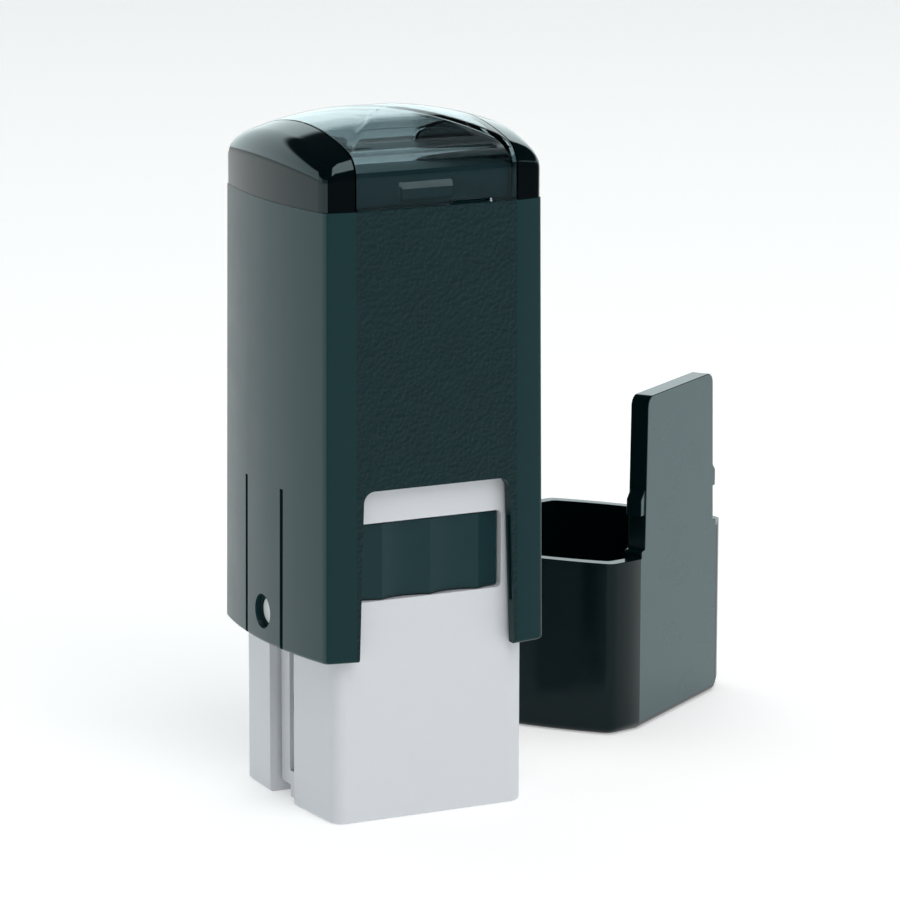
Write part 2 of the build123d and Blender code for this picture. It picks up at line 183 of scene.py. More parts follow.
def rounded(points, radii, steps=6):
    """A closed polygon with its corners rounded by arcs."""
    out = []
    radii = radii if isinstance(radii, (list, tuple)) else [radii] * len(points)
    for i, (point, radius) in enumerate(zip(points, radii)):
        if radius <= 0:
            out.append(point)
            continue
        here = Vector(point)
        back = (Vector(points[i - 1]) - here).normalized()
        ahead = (Vector(points[(i + 1) % len(points)]) - here).normalized()
        half = acos(max(-1.0, min(1.0, back.dot(ahead)))) / 2
        reach = radius / tan(half)
        centre = here + (back + ahead).normalized() * (radius / sin(half))
        start, end = here + back * reach - centre, here + ahead * reach - centre
        turn = start.angle_signed(end)
        for k in range(steps + 1):
            a = -turn * k / steps
            out.append((
                centre.x + start.x * cos(a) - start.y * sin(a),
                centre.y + start.x * sin(a) + start.y * cos(a),
            ))
    return out


def apply_modifiers(obj):
    """Bakes an object's modifiers into its mesh."""
    graph = bpy.context.evaluated_depsgraph_get()
    mesh = bpy.data.meshes.new_from_object(obj.evaluated_get(graph))
    obj.modifiers.clear()
    obj.data = mesh


def combine(obj, others, operation):
    """Boolean of an object with cutters or additions, which are used up."""
    for other in others:
        step = obj.modifiers.new("step", "BOOLEAN")
        step.operation, step.solver, step.object = operation, "EXACT", other
        apply_modifiers(obj)
        bpy.data.objects.remove(other)
    return obj


def cut(obj, *others):
    """Takes cutters away from an object."""
    return combine(obj, others, "DIFFERENCE")


def unite(obj, *others):
    """Adds other solids to an object."""
    return combine(obj, others, "UNION")


def keep(obj, *others):
    """Keeps only what an object shares with the others."""
    return combine(obj, others, "INTERSECT")


def soften(obj, width=0.12, segments=3, angle=28.0):
    """Rounds the edges that a moulding tool would round, and shades the rest smoothly."""
    bm = bmesh.new()
    bm.from_mesh(obj.data)
    bmesh.ops.remove_doubles(bm, verts=bm.verts, dist=0.004)
    bmesh.ops.dissolve_limit(bm, angle_limit=radians(0.4), verts=bm.verts, edges=bm.edges)
    bm.to_mesh(obj.data)
    bm.free()
    if width:
        edge = obj.modifiers.new("edge", "BEVEL")
        edge.width, edge.segments, edge.limit_method = width, segments, "ANGLE"
        edge.angle_limit = radians(angle)
        edge.miter_outer = "MITER_ARC"
        edge.use_clamp_overlap = True
        edge.harden_normals = False
        apply_modifiers(obj)
    obj.data.shade_smooth()
    obj.data.set_sharp_from_angle(angle=radians(38))
    normals = obj.modifiers.new("normals", "WEIGHTED_NORMAL")
    normals.keep_sharp, normals.weight = True, 60
    apply_modifiers(obj)
    return obj


def finish_piece(obj, materials, body, node, pick=None):
    """Scales a piece to metres, gives it its materials and ties it to the frame."""
    obj.data.transform(Matrix.Scale(MM, 4))
    obj.data.materials.clear()
    for material in materials:
        obj.data.materials.append(material)
    for face in obj.data.polygons:
        centre = face.center / MM
        face.material_index = pick(centre, face.normal) if pick else 0
    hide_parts(node)
    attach(obj, body)
    return obj


# ---- materials -----------------------------------------------------------------------------
def plastic(name, colour, rough, grain=(), mottle=0.06, metal=0.0, specular=0.5, tint=(1, 1, 1)):
    """A moulded surface: fine mottling, uneven gloss and layers of grain.

    Each grain is (kind, size in mm, height in mm), with kind noise, cells or strands.
    """
    mat = bpy.data.materials.new(name)
    mat.use_nodes = True
    nodes, links = mat.node_tree.nodes, mat.node_tree.links
    shader = nodes["Principled BSDF"]
    shader.inputs["Metallic"].default_value = metal
    shader.inputs["Specular IOR Level"].default_value = specular
    shader.inputs["Specular Tint"].default_value = (*tint, 1)
    place = nodes.new("ShaderNodeTexCoord")

    def noise(size, detail=3.0):
        node = nodes.new("ShaderNodeTexNoise")
        node.inputs["Scale"].default_value = 1 / (size * MM)
        node.inputs["Detail"].default_value = detail
        links.new(place.outputs["Object"], node.inputs["Vector"])
        return node

    shade = nodes.new("ShaderNodeMixRGB")
    shade.inputs["Color1"].default_value = (*[c * (1 - mottle) for c in colour], 1)
    shade.inputs["Color2"].default_value = (*[min(1, c * (1 + mottle)) for c in colour], 1)
    links.new(noise(2.6, 5.0).outputs["Fac"], shade.inputs["Fac"])
    links.new(shade.outputs["Color"], shader.inputs["Base Color"])

    gloss = nodes.new("ShaderNodeMapRange")
    gloss.inputs["To Min"].default_value = rough * 0.82
    gloss.inputs["To Max"].default_value = min(1.0, rough * 1.22)
    links.new(noise(5.0, 4.0).outputs["Fac"], gloss.inputs["Value"])
    links.new(gloss.outputs["Result"], shader.inputs["Roughness"])

    last = None
    for kind, size, height in grain:
        if kind == "cells":
            field = nodes.new("ShaderNodeTexVoronoi")
            field.feature = "SMOOTH_F1"
            field.inputs["Scale"].default_value = 1 / (size * MM)
            links.new(place.outputs["Object"], field.inputs["Vector"])
            value = field.outputs["Distance"]
        elif kind == "strands":
            field = nodes.new("ShaderNodeTexWave")
            field.inputs["Scale"].default_value = 1 / (size * MM)
            field.inputs["Distortion"].default_value = 2.0
            links.new(place.outputs["Object"], field.inputs["Vector"])
            value = field.outputs["Fac"]
        else:
            value = noise(size, 2.0).outputs["Fac"]
        bump = nodes.new("ShaderNodeBump")
        bump.inputs["Distance"].default_value = height * MM
        bump.inputs["Strength"].default_value = 1.0
        links.new(value, bump.inputs["Height"])
        if last:
            links.new(last.outputs["Normal"], bump.inputs["Normal"])
        last = bump
    if last:
        links.new(last.outputs["Normal"], shader.inputs["Normal"])
    return mat


def smoke_clear():
    """Smoky clear plastic of the top cover."""
    mat = plastic("smoke_clear", (0.34, 0.395, 0.41), 0.02, [("noise", 9.0, 0.002)], 0.03)
    shader = mat.node_tree.nodes["Principled BSDF"]
    shader.inputs["Transmission Weight"].default_value = 1.0
    shader.inputs["IOR"].default_value = 1.49
    shader.inputs["Specular Tint"].default_value = (0.16, 0.24, 0.26, 1)
    return mat


TEAL = (0.74, 0.98, 1.0)
GRAPHITE = plastic(
    "graphite_satin", (0.005, 0.026, 0.03), 0.3, [("noise", 0.09, 0.0012), ("noise", 0.6, 0.002)],
    specular=0.6, tint=TEAL,
)
# Painted shade: the same graphite with a weaker reflection, for the faces turned to the front or
# back so that they read darker than the sides.
GRAPHITE_PAINTED_SHADE = plastic(
    "graphite_painted_shade", (0.006, 0.027, 0.031), 0.34, [("noise", 0.09, 0.0012), ("noise", 0.6, 0.002)],
    specular=0.16, tint=TEAL,
)
PANEL = plastic(
    "graphite_leather", (0.006, 0.02, 0.024), 0.4,
    [("cells", 0.4, 0.16), ("noise", 0.18, 0.05), ("noise", 0.9, 0.02)], 0.2, specular=0.18,
    tint=TEAL,
)
GLOSS = plastic(
    "black_gloss", (0.001, 0.004, 0.005), 0.07, [("noise", 2.2, 0.0006)], 0.05, tint=TEAL
)
# Painted shade: the black gloss with its reflection nearly cut off, for the shoulders' upright
# front and back faces so that they stay black.
GLOSS_PAINTED_SHADE = plastic(
    "black_gloss_painted_shade", (0.001, 0.003, 0.004), 0.1, [("noise", 2.2, 0.0006)], 0.05, specular=0.02
)
DECK = plastic("deck_satin", (0.03, 0.11, 0.135), 0.3, [("noise", 0.5, 0.002)], 0.08, tint=TEAL)
# Painted highlight: a near-white colour for the latches' sloped top faces, standing in for the
# light they catch.
LATCH_PAINTED_HIGHLIGHT = plastic("latch_painted_highlight", (0.86, 0.9, 0.9), 0.25, [("noise", 0.5, 0.001)], 0.04)
CAP_GLOSS = plastic(
    "cap_gloss", (0.001, 0.005, 0.006), 0.12, [("noise", 1.6, 0.001)], 0.05, specular=0.2, tint=TEAL
)
# Rougher satin for the cap's front face, with a colour ten times lighter than the rest of the cap:
# painted light for the light that face catches.
CAP_FRONT_SATIN_AND_PAINTED_LIGHT = plastic(
    "cap_front_satin_painted_light", (0.012, 0.045, 0.052), 0.26, [("noise", 0.12, 0.001), ("noise", 1.6, 0.001)],
    specular=0.75, tint=TEAL,
)
LIGHT = plastic(
    "light_satin", (0.66, 0.68, 0.71), 0.4, [("noise", 0.12, 0.001), ("noise", 2.4, 0.001)], 0.012
)
SLATE = plastic(
    "slate_satin", (0.011, 0.034, 0.039), 0.34, [("noise", 0.1, 0.0012)], specular=0.18, tint=TEAL
)
CARRIER = plastic("carrier_satin", (0.03, 0.034, 0.038), 0.4, [("noise", 0.12, 0.002)])
WHITE_PIN = plastic("white_pin", (0.78, 0.8, 0.8), 0.3, [("noise", 0.2, 0.001)], 0.01)
STEEL = plastic("drawn_steel", (0.6, 0.6, 0.6), 0.26, [("strands", 0.2, 0.0006)], 0.04, metal=1.0)
FOAM = plastic("die_foam", (0.05, 0.05, 0.055), 0.9, [("cells", 0.2, 0.03)], 0.2)
RUBBER = plastic("die_rubber", (0.32, 0.075, 0.05), 0.62, [("noise", 0.12, 0.004)], 0.1)
INK_FOAM = plastic("ink_foam", (0.02, 0.022, 0.09), 0.85, [("cells", 0.25, 0.04)], 0.25)
INK_CLOTH = plastic("ink_cloth", (0.016, 0.018, 0.075), 0.55, [("strands", 0.3, 0.02)], 0.2)
SMOKE = smoke_clear()


# ---- outlines ------------------------------------------------------------------------------
def plan(grow=0.0, crease=0.7):
    """The handle's outline: flat front and back, corner strips and bulged sides."""
    face = (PANEL_HALF + 0.3 * grow, FRONT_Y + grow)
    return outline(face, (CREASE_X + grow, CREASE_Y + 0.9 * grow), SIDE_X + grow, crease)


def cap_plan(inset=0.0, crease=1.2):
    """The dust cap's outline, of the same form as the handle's."""
    face = (CAP_FACE - 0.3 * inset, CAP_FRONT - inset)
    fold = (CAP_CREASE_X - inset, CAP_CREASE_Y - 0.9 * inset)
    return outline(face, fold, CAP_SIDE - inset, crease)


def outline(face, fold, s, crease, arc_steps=16):
    """Outline through the edge of the flat face, the rounded fold and the bulged side."""
    (w, f), (cx, cy) = face, fold
    bulge = s - cx
    radius = (cy * cy + bulge * bulge) / (2 * bulge)
    swing = atan(cy / (radius - bulge))
    corner, edge = Vector((cx, -cy)), Vector((w, -f))
    strip = (corner - edge).normalized()
    side = Vector((sin(swing), cos(swing)))
    reach = crease * 0.64
    quarter = [(w, -f)]
    for k in range(6):
        t = k / 5
        p = (1 - t) ** 2 * (corner - strip * reach) + 2 * t * (1 - t) * corner
        p += t * t * (corner + side * reach)
        quarter.append((p.x, p.y))
    start = swing - 1.25 * reach / radius
    for k in range(arc_steps + 1):
        a = -start * (1 - k / arc_steps)
        quarter.append((s - radius + radius * cos(a), radius * sin(a)))
    half = quarter + [(x, -y) for x, y in reversed(quarter[:-1])]
    return half + [(-x, -y) for x, y in half]


def ring(points, z):
    """An outline at height z."""
    return [(x, y, z) for x, y in points]


def crown(x, y, lower=0.0):
    """Height of the crowned top, or of a wall's inside below it."""
    top, rx, ry = DOME_Z - lower, DOME_RX - lower, DOME_RY - lower
    rise = ry - rx + sqrt(rx * rx - x * x)
    return top - ry + sqrt(rise * rise - y * y)


def crowned(name, grow, lower, radius, bottom, crease=0.7, steps=9, rings=26):
    """The handle's plan raised to the crown, with its upper edge rolled over."""
    edge = [Vector(p) for p in plan(grow, crease)]
    inner = [Vector(p) for p in plan(grow - 1.0, crease)]
    rolls = [[] for _ in range(steps + 1)]
    for p, q in zip(edge, inner):
        inward = q - p
        slope = 0.4
        for _ in range(6):
            depth = radius * (1 - sin(slope))
            a, b = p + inward * depth, p + inward * (depth + 0.05)
            slope = atan((crown(b.x, b.y, lower) - crown(a.x, a.y, lower)) / 0.05)
        a = p + inward * radius * (1 - sin(slope))
        centre_z = crown(a.x, a.y, lower) - radius * cos(slope)
        for k in range(steps + 1):
            turn = (pi / 2 - slope) * k / steps
            q = p + inward * radius * (1 - cos(turn))
            rolls[k].append((q.x, q.y, centre_z + radius * sin(turn)))
    shape = [ring(edge, bottom)] + rolls
    last = rolls[-1]
    for k in range(1, rings):
        part = 1 - k / rings
        shape.append([(x * part, y * part, crown(x * part, y * part, lower)) for x, y, _ in last])
    return loft(name, shape, tip=(0, 0, crown(0, 0, lower)))


# ---- pieces --------------------------------------------------------------------------------
def axle_cutter(name, side, radius, low, high):
    """A cutter on the axle's line, through one side of the handle."""
    return prism(name, circle(radius, (0, AXLE_Z), 40), side * low, side * high, "YZ")


def housing():
    """Handle shell with its cut-out, side tongues and rounded lower edge."""
    lip = 0.35
    rings = []
    for k in range(5):
        a = pi / 2 * k / 4
        rings.append(ring(plan(DRAFT - lip * (1 - sin(a))), HOUSING_BOTTOM + lip * (1 - cos(a))))
    levels = 6
    for k in range(1, levels + 1):
        z = HOUSING_BOTTOM + lip + (SEAM_Z - HOUSING_BOTTOM - lip) * k / levels
        rings.append(ring(plan(DRAFT * (SEAM_Z - z) / (SEAM_Z - HOUSING_BOTTOM)), z))
    shell = loft("housing", rings)
    inner_draft = DRAFT * (SEAM_Z - ROOF_UNDER) / (SEAM_Z - HOUSING_BOTTOM)
    room = loft("room", [
        ring(plan(DRAFT - WALL + 0.006, crease=0.4), HOUSING_BOTTOM - 1),
        ring(plan(inner_draft - WALL, crease=0.4), ROOF_UNDER),
    ])
    seat = loft("seat", [ring(plan(-WALL, crease=0.4), z) for z in (ROOF_TOP, SEAM_Z + 2)])
    cut(shell, room, seat)
    for side in (-1, 1):
        for y in (-RIB_Y, RIB_Y):
            span = (y - RIB_HALF, y + RIB_HALF, HOUSING_BOTTOM + 1, ROOF_UNDER + 0.2)
            unite(shell, slab(side * RIB_IN, side * RIB_OUT, *span))
    boss = prism("boss", circle(BOSS_R), ROOF_UNDER - 2.2, ROOF_UNDER + 0.2)
    unite(shell, boss)
    corners = [
        (-CUT_HALF_LOW, HOUSING_BOTTOM - 1), (CUT_HALF_LOW, HOUSING_BOTTOM - 1),
        (CUT_HALF_TOP, CUT_TOP), (-CUT_HALF_TOP, CUT_TOP),
    ]
    profile = rounded(corners, [0, 0, 1.2, 1.2], 10)
    cut(shell, prism("window", profile, -FRONT_Y - 2, -FRONT_Y + 2.5, "XZ"))
    for side in (-1, 1):
        a, b = sorted((side * (CUT_HALF_LOW - 0.5), side * (CUT_HALF_LOW + 0.4)))
        low, high = (a, -FRONT_Y + 0.05, CATCH_SLOT_LOW), (b, -FRONT_Y + 0.65, CATCH_SLOT_HIGH)
        catch = block("catch", low, high)
        a, b = sorted((side * (SIDE_X - 2.5), side * (SIDE_X + 2.5)))
        slits = [
            block("slit", (a, y - SLIT / 2, HOUSING_BOTTOM - 1), (b, y + SLIT / 2, TONGUE_TOP))
            for y in (-TONGUE_HALF, TONGUE_HALF)
        ]
        hole = axle_cutter("hole", side, AXLE_R + 0.06, SIDE_X - 3, SIDE_X + 3)
        mouth = axle_cutter("mouth", side, AXLE_R + 0.35, SIDE_X - 0.4, SIDE_X + 3)
        cut(shell, catch, *slits, hole, mouth)
    soften(shell, 0.13)

    def pick(centre, normal):
        on_front = abs(normal.y) > 0.995 and abs(abs(centre.y) - FRONT_Y) < 0.4
        if on_front and abs(centre.x) < PANEL_HALF + 0.1 and centre.z > 18:
            return 1
        # Painted shade: faces turned to the front or back, and those across the panel, get the
        # weaker-reflecting graphite.
        return 2 if abs(normal.y) > 0.75 or abs(centre.x) < PANEL_HALF else 0

    materials = [GRAPHITE, PANEL, GRAPHITE_PAINTED_SHADE]
    return finish_piece(shell, materials, "handle", "housing_shell", pick)


def top_cap():
    """Glossy shoulders, the deck between them and the plug below."""
    cap = crowned("top", 0.0, 0.0, CROWN_R, SEAM_Z + 0.04, crease=1.5)
    gap = COVER_HALF + COVER_GAP
    cut(cap, block("gap", (-gap, -20, SEAM_Z - 5), (gap, 20, 90)))
    soften(cap, 0.2)
    deck = block("deck", (-gap + 0.02, -DECK_Y, SEAM_Z + 0.04), (gap - 0.02, DECK_Y, DECK_Z))
    cut(deck, prism("recess", circle(RECESS_R, RECESS_AT), DECK_Z - RECESS_DEEP, DECK_Z + 1))
    for side in (-1, 1):
        root, face = side * (DECK_Y - 0.2), side * (DECK_Y + LATCH_OUT)
        profile = [(root, LATCH_LOW), (face, LATCH_LOW), (face, LATCH_BEND), (root, LATCH_TOP)]
        middle = side * LATCH_SHIFT
        latch = prism("latch", profile[::side], middle - LATCH_HALF, middle + LATCH_HALF, "YZ")
        unite(deck, latch)
    soften(deck, 0.25)
    plug = loft("plug", [ring(plan(-WALL - 0.05, crease=0.4), z) for z in (ROOF_TOP, SEAM_Z)])
    soften(plug, 0.1)
    join(cap, deck, plug)

    def pick(centre, normal):
        if abs(centre.x) > gap - 0.05 or centre.z < SEAM_Z:
            # Painted shade: the shoulders' upright front and back faces get the gloss with its
            # reflection cut off.
            return 3 if abs(normal.y) > 0.75 and abs(normal.z) < 0.3 else 0
        on_latch = abs(centre.y) > DECK_Y and LATCH_BEND - 0.05 < centre.z < LATCH_TOP + 0.2
        # Painted highlight: the latches' sloped top faces get the near-white colour.
        return 2 if on_latch and 0.2 < normal.z < 0.97 else 1

    materials = [GLOSS, DECK, LATCH_PAINTED_HIGHLIGHT, GLOSS_PAINTED_SHADE]
    return finish_piece(cap, materials, "handle", "top_cap", pick)


def join(first, *others):
    """Joins separate meshes into the first object."""
    bm = bmesh.new()
    for obj in (first, *others):
        bm.from_mesh(obj.data)
    bm.to_mesh(first.data)
    bm.free()
    for obj in others:
        bpy.data.objects.remove(obj)
    return first


def clear_cover():
    """Smoky cover over the deck, a thin crowned shell."""
    cover = crowned("cover", 0.0, 0.0, CROWN_R, SEAM_Z + 0.04)
    hollow = crowned("hollow", -COVER_WALL, COVER_WALL, CROWN_R - COVER_WALL, SEAM_Z - 1)
    cut(cover, hollow)
    half = COVER_HALF - COVER_RELIEF
    keep(cover, block("slab", (-half, -20, SEAM_Z - 5), (half, 20, 90)))
    low, high = (NICK_FROM, -FRONT_Y - 2, SEAM_Z - 2), (NICK_TO, -FRONT_Y + 1.5, SEAM_Z + NICK_DEEP)
    cut(cover, block("nick", low, high))
    soften(cover, 0.16)
    return finish_piece(cover, [SMOKE], "cover", "clear_cover")


def base_outline(inset=0.0):
    """Outline of the base frame, with slightly bulged sides."""
    x, mid, y = BASE_X - inset, BASE_MID_X - inset, BASE_Y - inset
    bulge = mid - x
    radius = (y * y + bulge * bulge) / (2 * bulge)
    swing = atan(y / (radius - bulge))
    steps = 14
    side = []
    for k in range(1, steps):
        a = -swing * (1 - 2 * k / steps)
        side.append((mid - radius + radius * cos(a), radius * sin(a)))
    points = [(x, -y)] + side + [(x, y), (-x, y)] + [(-px, -py) for px, py in side] + [(-x, -y)]
    radii = [0.0] * len(points)
    for i, p in enumerate(points):
        if abs(abs(p[0]) - x) < 1e-6 and abs(abs(p[1]) - y) < 1e-6:
            radii[i] = max(0.2, BASE_R - inset)
    radii = [min(r, 1.42) for r in radii]
    return rounded(points, radii, 8)


def groove_outline(width=2.0, steps=36):
    """Outline of the cam groove: the path of a guide pin, with a width."""
    turns = [pi * i / steps for i in range(steps + 1)]
    drop = STROKE / pi
    path = [Vector((PIN_ARM * sin(a), AXLE_Z - drop * a - PIN_ARM * cos(a))) for a in turns]
    sides = [[], []]
    for i, p in enumerate(path):
        along = (path[min(i + 1, steps)] - path[max(i - 1, 0)]).normalized()
        out = Vector((along.y, -along.x)) * width / 2
        for k, q in enumerate((p + out, p - out)):
            # inside the tight turn the moved points fall back over the path
            if min((q - r).length for r in path) > width / 2 - 0.01:
                sides[k].append(tuple(q))
    return sides[0] + sides[1][::-1]


def base_frame():
    """Light frame with the cartridge's window, side channels and the spring's well."""
    foot = 0.35
    rings = []
    for k in range(5):
        a = pi / 2 * k / 4
        rings.append(ring(base_outline(foot * (1 - sin(a))), foot * (1 - cos(a))))
    rings += [ring(base_outline(), z) for z in (BASE_TOP / 2, BASE_TOP)]
    body = loft("base", rings)
    cut(body, block("room", (-ROOM_X, -ROOM_Y, -1), (ROOM_X, ROOM_Y, WINDOW_LOW - 0.1)))
    bay = slab(-WINDOW_HALF, WINDOW_HALF, -ROOM_Y - 0.6, ROOM_Y, WINDOW_LOW, WINDOW_HIGH)
    corners = [
        (-WINDOW_HALF, WINDOW_LOW), (WINDOW_HALF, WINDOW_LOW),
        (WINDOW_HALF, WINDOW_HIGH), (-WINDOW_HALF, WINDOW_HIGH),
    ]
    mouth = prism("mouth", rounded(corners, 0.5, 6), -BASE_Y - 1, -ROOM_Y - 0.3, "XZ")
    gap = block("gap", (-RAIL_IN, -ROOM_Y, WINDOW_LOW - 0.5), (RAIL_IN, ROOM_Y, WINDOW_LOW + 0.5))
    cut(body, bay, mouth, gap)
    for side in (-1, 1):
        span = (-ROOM_Y - 0.1, ROOM_Y + 0.1, WINDOW_LOW - 0.1, RAIL_TOP)
        unite(body, slab(side * RAIL_IN, side * (ROOM_X + 0.1), *span))
    x, y = BASE_X - 1.6, BASE_Y - 1.6
    well = rounded([(-x, -y), (x, -y), (x, y), (-x, y)], 1.0, 5)
    cut(body, prism("well", well, SEAT_Z, BASE_TOP + 1))
    unite(body, prism("boss", circle(BOSS_R), SEAT_Z - 0.3, SEAT_Z + 2.2))
    for side in (-1, 1):
        inner, outer = side * (ROOM_X - 0.5), side * SLOT_OUT
        play = AXLE_R + 0.15
        channel = slab(side * CHANNEL_FLOOR, side * 13, *CHANNEL_Y, -1, CHANNEL_TOP)
        slot = slab(inner, outer, -play, play, SLOT_END, AXLE_Z + AXLE_R + 0.2)
        gap = slab(inner, outer, CHANNEL_Y[1] - 0.4, CHANNEL_Y[1], -1, GAP_TOP)
        notch = slab(inner, outer, AXLE_R, CHANNEL_Y[1], -1, NOTCH_TOP)
        deep = side * (ROOM_X + 0.8)
        groove = prism("groove", groove_outline(), inner, deep, "YZ")
        ends = [
            prism("end", circle(1.0, (0, z)), inner, deep, "YZ")
            for z in (AXLE_Z - PIN_ARM, AXLE_Z - STROKE + PIN_ARM)
        ]
        cut(body, channel, slot, gap, notch, groove, *ends)
        bump = circle(0.3, (side * (CHANNEL_FLOOR + 0.55), CHANNEL_Y[0]), 24)
        unite(body, prism("bump", bump, BUMP_LOW, BUMP_HIGH))
    soften(body, 0.14)
    return finish_piece(body, [LIGHT], "base", "base_frame")


def spring():
    """Return spring: a round-wire helix of even pitch, its wire ends capped."""
    wire = 0.45
    radius = (SPRING_HIGH.x - SPRING_LOW.x) / 2 - wire
    low, high = SPRING_LOW.z + wire, SPRING_HIGH.z - wire
    turns, per_turn, sides = 8, 36, 10
    count = turns * per_turn
    bm = bmesh.new()
    rows = []
    for i in range(count + 1):
        t = i / count
        a = 2 * pi * turns * t
        centre = Vector((radius * cos(a), radius * sin(a), low + (high - low) * t))
        out = Vector((cos(a), sin(a), 0))
        row = []
        for k in range(sides):
            b = 2 * pi * k / sides
            row.append(bm.verts.new(centre + out * wire * cos(b) + Vector((0, 0, wire * sin(b)))))
        rows.append(row)
    for a, b in zip(rows, rows[1:]):
        for k in range(sides):
            j = (k + 1) % sides
            bm.faces.new((a[k], a[j], b[j], b[k]))
    bm.faces.new(rows[0])
    bm.faces.new(rows[-1])
    coil = new_object("spring", bm)
    coil.data.shade_smooth()
    finish_piece(coil, [STEEL], "base", "return_spring")
    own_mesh(coil)
    return coil


def carrier():
    """Die carrier: a plate on the axle with a cheek at each end."""
    plate = block("carrier", (-CHEEK_IN, -6, AXLE_Z - 1), (CHEEK_IN, 6, AXLE_Z + 2))
    unite(plate, prism("barrel", circle(1.95, (0, AXLE_Z)), -CHEEK_OUT, CHEEK_OUT, "YZ"))
    for side in (-1, 1):
        steps = 20
        arc = [pi * k / steps for k in range(steps + 1)]
        cheek = [(2.2 * cos(a), AXLE_Z + 2.2 * sin(a)) for a in arc]
        cheek += [(-1.4 * cos(a), AXLE_Z - PIN_ARM - 1.4 * sin(a)) for a in arc]
        unite(plate, prism("cheek", cheek, side * CHEEK_IN, side * CHEEK_OUT, "YZ"))
        hole = circle(PIN_R + 0.01, (0, AXLE_Z - PIN_ARM))
        cut(plate, prism("hole", hole, side * 7.2, side * 9.2, "YZ"))
    cut(plate, prism("bore", circle(AXLE_R + 0.01, (0, AXLE_Z)), -10, 10, "YZ"))
    soften(plate, 0.15)
    return finish_piece(plate, [CARRIER], "carrier", "die_carrier")


def axle():
    """White axle with rounded ends."""
    rod = prism("axle", circle(AXLE_R, (0, AXLE_Z), 48), AXLE_LOW.x, AXLE_HIGH.x, "YZ")
    soften(rod, 0.25, 4)
    return finish_piece(rod, [WHITE_PIN], "carrier", "carrier_axle")


def cam_pins():
    """Two steel pins that follow the cam grooves."""
    pins = [
        prism("pins", circle(PIN_R, (0, AXLE_Z - PIN_ARM), 32), side * 7.3, side * 9.4, "YZ")
        for side in (-1, 1)
    ]
    for pin in pins:
        soften(pin, 0.12)
    join(*pins)
    return finish_piece(pins[0], [STEEL], "carrier", "cam_pins")


def soft_block(name, low, high, materials, body, node, edge=0.12):
    """A small foam or cloth slab with softened edges."""
    piece = block(name, low, high)
    soften(piece, edge)
    return finish_piece(piece, materials, body, node)


def rubber_die():
    """Rubber die with a raised border, ring, rays and dot."""
    top = DIE_HIGH.z
    face = top - PRINT_DEEP
    die = block("die", DIE_LOW, (DIE_HIGH.x, DIE_HIGH.y, face))
    border = block("border", (-BORDER_OUT, -BORDER_OUT, face - 0.2), (BORDER_OUT, BORDER_OUT, top))
    cut(border, slab(-BORDER_IN, BORDER_IN, -BORDER_IN, BORDER_IN, face - 1, top + 1))
    band = prism("band", circle(RING_OUT), face - 0.2, top)
    cut(band, prism("inside", circle(RING_IN), face - 1, top + 1))
    unite(die, border, band, prism("dot", circle(DOT_R, count=24), face - 0.2, top))
    corners = [
        (RAY_FROM, -RAY_HALF), (RAY_TO, -RAY_HALF), (RAY_TO, RAY_HALF), (RAY_FROM, RAY_HALF)
    ]
    for k in range(8):
        a = 2 * pi * k / 8
        along, across = Vector((cos(a), sin(a))), Vector((-sin(a), cos(a)))
        ray = [tuple(along * r + across * s) for r, s in corners]
        unite(die, prism("ray", ray, face - 0.2, top))
    soften(die, 0.06, 2)
    return finish_piece(die, [RUBBER], "carrier", "rubber_die")


def pad_tray():
    """Ink cartridge with hollow finger flutes down its front."""
    x, front, back = TRAY_HIGH.x, TRAY_LOW.y, TRAY_HIGH.y
    flute_r, pitch, deep = 6.0, 5.4, 0.55
    face = []
    steps = 10
    for k, centre in enumerate((-8.1, -2.7, 2.7, 8.1)):
        lo, hi = max(-x, centre - pitch / 2), min(x, centre + pitch / 2)
        for s in range(steps + 1):
            px = lo + (hi - lo) * s / steps
            py = front - (flute_r - deep) + sqrt(flute_r**2 - (px - centre) ** 2)
            if not face or abs(px - face[-1][0]) > 1e-6:
                face.append((px, py))
    plate = face + [(x, front + 1.2), (-x, front + 1.2)]
    tray = prism("tray", plate, TRAY_LOW.z, TRAY_HIGH.z)
    body = block("body", (-x, front + 1.1, RAIL_TOP + 0.1), (x, back, TRAY_HIGH.z))
    unite(tray, body)
    lip = CLOTH_LOW.z - 0.05
    cut(tray, block("under", (-RAIL_IN, front + 1.2, 15), (RAIL_IN, back + 5, lip)))
    low = (FOAM_LOW.x - 0.05, FOAM_LOW.y - 0.05, lip - 1)
    high = (FOAM_HIGH.x + 0.05, FOAM_HIGH.y + 0.05, 29.0)
    cut(tray, block("pocket", low, high))
    soften(tray, 0.09, 3, 20)
    return finish_piece(tray, [SLATE], "cartridge", "pad_tray")


